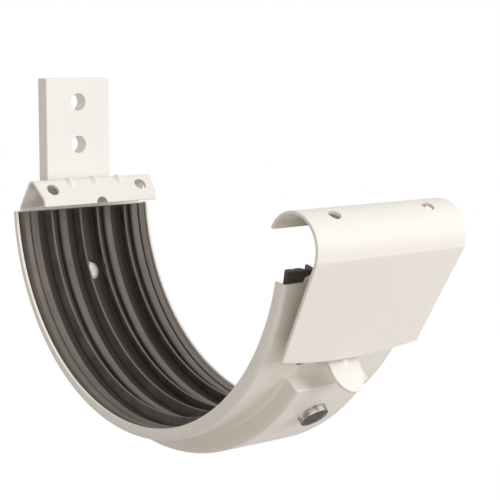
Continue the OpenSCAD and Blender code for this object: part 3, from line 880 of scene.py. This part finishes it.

# %% [markdown]
# The seal is black rubber that came out of a die, so fine drawing lines run along its whole length.
# They follow the UV map, stretched far longer than wide. The crests carry a little talc. Light and
# shade are painted into the colour. The crests are painted lighter as lit surfaces. The sides of the
# ribs are painted darker, and the floor between them darkest, as painted shade. The crests' rounded
# edges are paler grey, partly from rubbing and partly as a painted highlight. The distance from the
# axis of the bend, and whether the surface looks back at that axis, tell these apart.

# %% Extruded rubber
# Painted shade and light: the ribs' sides are darker than the surfaces that face out or in, and
# every tone darkens from the crests down to the floor between the ribs.
floor_side_shade, crest_side_shade = (0.016, 0.0145, 0.0125, 1), (0.062, 0.055, 0.049, 1)
floor_face_shade, crest_face_lit = (0.056, 0.048, 0.042, 1), (0.158, 0.134, 0.118, 1)
talc_grey, crest_rub_highlight = (0.2, 0.176, 0.156, 1), (0.27, 0.238, 0.212, 1)
floor_to_crest = (67.3 * MM, 65.6 * MM)
lines_along, lines_across = 30.0, 1500.0

rubber, tree, shader, place = start_material("Extruded rubber")
here = (place, "Object")
bend_axis = group_in(tree, about, Vector=here, Start=tuple(bend_axis_at),
                     Direction=tuple(ALONG_GUTTER))
high = value_map(tree, (bend_axis, "Away"), floor_to_crest, (0.0, 1.0), smooth=True)
squarely = maths(tree, "ABSOLUTE", (bend_axis, "Outward"))
upright = value_map(tree, (squarely, 0), (0.35, 0.95), (0.0, 1.0), smooth=True)
side_tone = mix(tree, (high, "Result"), floor_side_shade, crest_side_shade)
face_shade_tone = mix(tree, (high, "Result"), floor_face_shade, crest_face_lit)
plain = mix(tree, (upright, "Result"), (side_tone, "Result"), (face_shade_tone, "Result"))
stretched = add_node(tree, "Mapping", {
    "Vector": (place, "UV"), "Scale": (lines_along, lines_across, 1.0)})
lines = noise(tree, (stretched, "Vector"), 1.0, 4.0)
line_tone = value_map(tree, (lines, "Fac"), (0.3, 0.7), (0.7, 1.3))
lined = mix(tree, 1.0, (plain, "Result"), (line_tone, "Result"), blend_type="MULTIPLY")
talc = noise(tree, here, 120.0, 5.0)
dusty = value_map(tree, (talc, "Fac"), (0.42, 0.7), (0.0, 0.4))
talc_high = maths(tree, "MULTIPLY", (dusty, "Result"), (high, "Result"))
dusted = mix(tree, (talc_high, 0), (lined, "Result"), talc_grey)
# The crests' rounded edges go paler grey: partly rubbing, partly a painted highlight.
rubbed_and_highlit = group_in(tree, edges, Vector=here, Radius=0.5 * MM, Patches_per_metre=300.0, Amount=0.7)
crest = mix(tree, (rubbed_and_highlit, "Mask"), (dusted, "Result"), crest_rub_highlight)
rough = value_map(tree, (lines, "Fac"), (0.3, 0.7), (0.58, 0.72))
grain = noise(tree, here, 2600.0)
relief = mix(tree, 0.4, (lines, "Fac"), (grain, "Fac"), data_type="FLOAT")
bump = bumps(tree, 0.7, 0.05 * MM, (relief, "Result"), (rubbed_and_highlit, "Normal"))
feed(tree, shader, {"Base Color": (crest, "Result"), "Roughness": (rough, "Result"),
                    "Normal": (bump, "Normal")})

# %% [markdown]
# The front rivet is bare steel. Its struck face is coloured dark brown, darker in blotches. Its rim
# is painted bright, partly as burnishing by the setting tool and partly as a painted highlight, and
# its side is bright in places and smeared dark in others. The face is told from the side by how
# squarely the surface looks along the rivet, and fine turned rings run round the axis.

# %% Bare steel
# The face is coloured dark brown, darker in blotches.
face_brown, face_darker = (0.075, 0.06, 0.05, 1), (0.034, 0.027, 0.022, 1)
smear_dark, side_bright = (0.3, 0.275, 0.255, 1), (0.86, 0.84, 0.82, 1)
rim_bright_highlight = (0.8, 0.78, 0.75, 1)
ring_step = 0.22 * MM

steel, tree, shader, place = start_material("Rivet steel")
here = (place, "Object")
spin_axis = group_in(tree, about, Vector=here, Start=tuple(bend_axis_at),
                     Direction=(0.0, *direction(front_rivet_at)))
face = value_map(tree, (spin_axis, "Facing"), (0.75, 0.95), (0.0, 1.0), smooth=True)
rings = maths(tree, "MULTIPLY", (spin_axis, "Away"), 2 * np.pi / ring_step)
ring_wave = maths(tree, "SINE", (rings, 0))
face_blotches = noise(tree, here, 700.0, 4.0)
face_blotch_tone = mix(tree, (face_blotches, "Fac"), face_brown, face_darker)
smears = noise(tree, here, 260.0, 3.0)
smeared = value_map(tree, (smears, "Fac"), (0.38, 0.62), (0.0, 1.0), smooth=True)
side_tone = mix(tree, (smeared, "Result"), smear_dark, side_bright)
plain = mix(tree, (face, "Result"), (side_tone, "Result"), (face_blotch_tone, "Result"))
# The rim goes bright: partly burnishing, partly a painted highlight.
bright = group_in(tree, edges, Vector=here, Radius=0.12 * MM, Patches_per_metre=500.0, Amount=0.9)
burnished_and_highlit = mix(tree, (bright, "Mask"), (plain, "Result"), rim_bright_highlight)
face_rough = value_map(tree, (face, "Result"), (0.0, 1.0), (0.26, 0.5))
ring_rough = value_map(tree, (ring_wave, 0), (-1.0, 1.0), (-0.05, 0.05))
rough = maths(tree, "ADD", (face_rough, "Result"), (ring_rough, "Result"))
bump = bumps(tree, 0.3, 0.01 * MM, (ring_wave, 0), (bright, "Normal"))
feed(tree, shader, {"Base Color": (burnished_and_highlit, "Result"), "Roughness": (rough, 0),
                    "Metallic": 1.0, "Normal": (bump, "Normal")})

# %% [markdown]
# Each piece gets its one finish. The rear rivet wears the saddle's coat.

# %% Finishes on their pieces
for piece, finish in ((saddle, sheet_paint), (clip, sheet_paint), (bar, bar_paint),
                      (painted_rivet, sheet_paint), (steel_rivet, steel), (seal, rubber)):
    piece.data.materials.clear()
    piece.data.materials.append(finish)
    print(piece.name, "wears", finish.name)

# %% [markdown]
# The bracket is lit like a small product: a wide white dome above, a dark ground below, a soft
# key lamp from the right of the front, and a weak fill from its left, which opens up the shadows
# under the apron. Rays from the camera and from glossy surfaces see a pale floor and a white room
# instead, and the floor keeps a shadow. The floor lies well below, because the bracket hangs on a
# wall and stands on nothing. Seen from underneath the floor is clear, so that the lower side can
# be looked at as well.

# %% Floor and room
def shown(tree, lit, seen):
    """Mix Shader: camera and glossy rays see `seen`, and all other rays are lit by `lit`."""
    path = add_node(tree, "LightPath")
    eye = maths(tree, "MAXIMUM", (path, "Is Camera Ray"), (path, "Is Glossy Ray"))
    return add_node(tree, "MixShader", {0: (eye, 0), 1: (lit, 0), 2: (seen, 0)})


floor_z = cad_box[0][2] - 0.5
floor_half = 8.0
floor_mesh = bpy.data.meshes.new("studio_floor")
floor_mesh.from_pydata([(x * floor_half, y * floor_half, floor_z)
                        for x, y in ((-1, -1), (1, -1), (1, 1), (-1, 1))], [], [(0, 1, 2, 3)])
floor = bpy.data.objects.new("studio_floor", floor_mesh)
bpy.context.scene.collection.objects.link(floor)
pale = bpy.data.materials.new("Pale floor")
pale.use_nodes = True
tree = pale.node_tree
tree.nodes.clear()
ground = add_node(tree, "BsdfDiffuse", {"Color": (0.4, 0.355, 0.31, 1)})
glow = add_node(tree, "Emission", {"Color": (0.98, 0.99, 1, 1), "Strength": 0.83})
shadowed = add_node(tree, "BsdfDiffuse", {"Color": (0.3, 0.3, 0.3, 1)})
both = add_node(tree, "AddShader", {0: (glow, 0), 1: (shadowed, 0)})
above = shown(tree, ground, both)
clear = add_node(tree, "BsdfTransparent")
below = add_node(tree, "NewGeometry")
through = add_node(tree, "MixShader", {0: (below, "Backfacing"), 1: (above, 0), 2: (clear, 0)})
add_node(tree, "OutputMaterial", {0: (through, 0)})
floor_mesh.materials.append(pale)

world = bpy.data.worlds.new("Soft room")
bpy.context.scene.world = world
world.use_nodes = True
tree = world.node_tree
dome = tree.nodes["Background"]
feed(tree, dome, {"Color": (1, 0.955, 0.905, 1), "Strength": 0.62})
white = add_node(tree, "Background", {"Color": (1, 1, 1, 1), "Strength": 1.0})
feed(tree, tree.nodes["World Output"], {"Surface": (shown(tree, dome, white), 0)})
print("floor mm below the bracket:", round((cad_box[0][2] - floor_z) / MM))

# %% [markdown]
# Both lamps are square softboxes that face the bracket's middle. Glossy rays don't see them,
# because their image in the coat would burn out the clip's curl and the tab. The camera stands
# half a metre away and looks slightly down through a long lens, so the perspective is gentle.

# %% Lamps and camera
middle = Vector((0.0, -0.078, -0.042))
lamp_away, lamp_side = 1.2, 0.8


def softbox(name, towards, watts, colour):
    """Square area lamp on the line from the bracket's middle towards a direction."""
    lamp = bpy.data.lights.new(name, "AREA")
    lamp.shape = "RECTANGLE"
    lamp.size = lamp_side
    lamp.size_y = lamp_side
    lamp.energy = watts
    lamp.color = colour
    holder = bpy.data.objects.new(name, lamp)
    holder.location = middle + Vector(towards).normalized() * lamp_away
    holder.rotation_euler = Vector(towards).to_track_quat("Z", "Y").to_euler()
    holder.visible_camera = False
    holder.visible_glossy = False
    bpy.context.scene.collection.objects.link(holder)
    print(name, "watts:", watts)


softbox("Key lamp", (0.8, -1.0, 0.4), 8.9, (0.97, 0.99, 1.03))
softbox("Fill lamp", (-0.45, -1.0, -0.12), 3.3, (1.0, 0.99, 1.0))

camera_at = Vector((-304.19, -451.28, 24.25)) * MM
right = Vector((0.7600, -0.6499, 0.0))
up = Vector((0.0817, 0.0956, 0.9920))
back = Vector((-0.6447, -0.7540, 0.1258))
lens = bpy.data.cameras.new("Product camera")
lens.lens = 112.44
lens.sensor_width = 36.0
lens.clip_start = 0.01
camera = bpy.data.objects.new("Product camera", lens)
turn = Matrix((right, up, back)).transposed().to_4x4()
camera.matrix_world = Matrix.Translation(camera_at) @ turn
bpy.context.scene.collection.objects.link(camera)
bpy.context.scene.camera = camera
bpy.context.scene.view_settings.view_transform = "Standard"
